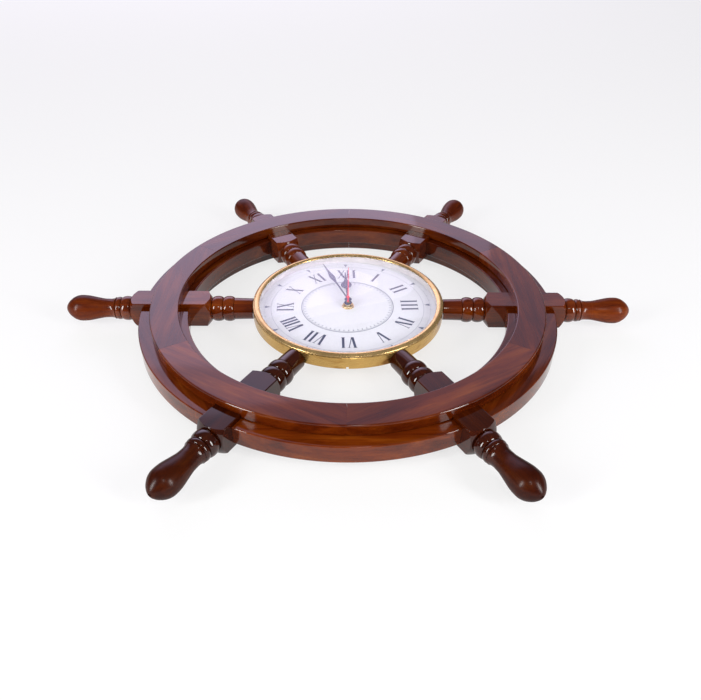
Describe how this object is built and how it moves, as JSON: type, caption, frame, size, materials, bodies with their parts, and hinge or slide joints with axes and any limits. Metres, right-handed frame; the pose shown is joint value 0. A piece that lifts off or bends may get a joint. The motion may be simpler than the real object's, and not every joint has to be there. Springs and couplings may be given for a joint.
{
  "type": "ship wheel wall clock",
  "caption": "Wall clock in the form of a ship's wheel: turned wooden spokes and a built-up wooden rim round a brass quartz clock with a domed glass.",
  "frame": {"origin": "axis of the wheel, where it meets the plane of the rim's back face (the wall plane)", "axes": "+Z out of the wall, the way the dial faces; +Y to twelve o'clock, the top when it hangs; +X to three o'clock"},
  "size_m": [0.61, 0.5306, 0.043],
  "materials": {
    "rosewood": "high gloss varnish over red-brown sheesham",
    "brass": "brushed and lacquered",
    "glass": "clear, domed",
    "dial_enamel": "satin white with dark blue printing",
    "hardboard": "bare",
    "black_plastic": "fine textured",
    "white_plastic": "moulded",
    "navy_paint": "satin dark blue",
    "red_paint": "satin red",
    "steel": "plain",
    "copper": "enamelled winding wire",
    "green_board": "solder resist",
    "cell_jacket": "plain printed sleeve"
  },
  "bodies": {
    "clock": {"front_ring_segment_1": "rosewood", "front_ring_segment_2": "rosewood", "front_ring_segment_3": "rosewood", "front_ring_segment_4": "rosewood", "front_ring_segment_5": "rosewood", "front_ring_segment_6": "rosewood", "back_ring_segment_1": "rosewood", "back_ring_segment_2": "rosewood", "back_ring_segment_3": "rosewood", "back_ring_segment_4": "rosewood", "back_ring_segment_5": "rosewood", "back_ring_segment_6": "rosewood", "felloe_1": "rosewood", "felloe_2": "rosewood", "felloe_3": "rosewood", "felloe_4": "rosewood", "felloe_5": "rosewood", "felloe_6": "rosewood", "spoke_1": "rosewood", "spoke_2": "rosewood", "spoke_3": "rosewood", "spoke_4": "rosewood", "spoke_5": "rosewood", "spoke_6": "rosewood", "spoke_screw_1": "brass", "spoke_screw_2": "brass", "spoke_screw_3": "brass", "spoke_screw_4": "brass", "spoke_screw_5": "brass", "spoke_screw_6": "brass", "brass_case": "brass", "bezel": "brass", "glass": "glass", "dial_board": "hardboard", "dial": "dial_enamel", "inner_ring": "white_plastic", "movement_front_shell": "black_plastic", "movement_back_shell": "black_plastic", "threaded_bushing": "brass", "centre_nut": "brass", "stator": "steel", "coil": "copper", "circuit_board": "green_board", "battery": "cell_jacket", "battery_contact_positive": "steel", "battery_contact_negative": "steel", "hanger_plate": "brass", "hanger_screw_1": "steel", "hanger_screw_2": "steel"},
    "minute": {"minute_hand": "navy_paint", "centre_wheel": "brass"},
    "hour": {"hour_hand": "navy_paint", "hour_wheel": "white_plastic"},
    "second": {"second_hand": "red_paint", "seconds_wheel": "brass"},
    "motion": {"motion_wheel": "white_plastic"},
    "setting": {"setting_knob": "white_plastic"},
    "third": {"third_wheel": "white_plastic"},
    "step": {"step_wheel": "white_plastic"},
    "rotor": {"rotor": "steel"}
  },
  "joints": [
    {"name": "minute_turn", "type": "hinge", "parent": "clock", "child": "minute", "pos_m": [0, 0, 0.031], "axis": [0, 0, -1], "continuous": true},
    {"name": "hour_turn", "type": "hinge", "parent": "clock", "child": "hour", "pos_m": [0, 0, 0.028], "axis": [0, 0, -1], "continuous": true},
    {"name": "second_turn", "type": "hinge", "parent": "clock", "child": "second", "pos_m": [0, 0, 0.0336], "axis": [0, 0, -1], "continuous": true},
    {"name": "motion_turn", "type": "hinge", "parent": "clock", "child": "motion", "pos_m": [-0.00719, 0.00415, 0.013], "axis": [0, 0, -1], "continuous": true},
    {"name": "setting_turn", "type": "hinge", "parent": "clock", "child": "setting", "pos_m": [-0.01499, 0.00415, 0.0024], "axis": [0, 0, -1], "continuous": true},
    {"name": "third_turn", "type": "hinge", "parent": "clock", "child": "third", "pos_m": [0.00858, 0, 0.0104], "axis": [0, 0, -1], "continuous": true},
    {"name": "step_turn", "type": "hinge", "parent": "clock", "child": "step", "pos_m": [0.00375, 0.00649, 0.0091], "axis": [0, 0, -1], "continuous": true},
    {"name": "rotor_turn", "type": "hinge", "parent": "clock", "child": "rotor", "pos_m": [0.00668, 0.01201, 0.0104], "axis": [0, 0, -1], "continuous": true}
  ],
  "couplings": [
    {"joint": "hour_turn", "follows": "minute_turn", "ratio": 0.083333},
    {"joint": "motion_turn", "follows": "minute_turn", "ratio": -0.33333},
    {"joint": "setting_turn", "follows": "minute_turn", "ratio": 1.3333},
    {"joint": "third_turn", "follows": "second_turn", "ratio": -0.13333},
    {"joint": "step_turn", "follows": "second_turn", "ratio": -5},
    {"joint": "rotor_turn", "follows": "second_turn", "ratio": 30}
  ]
}
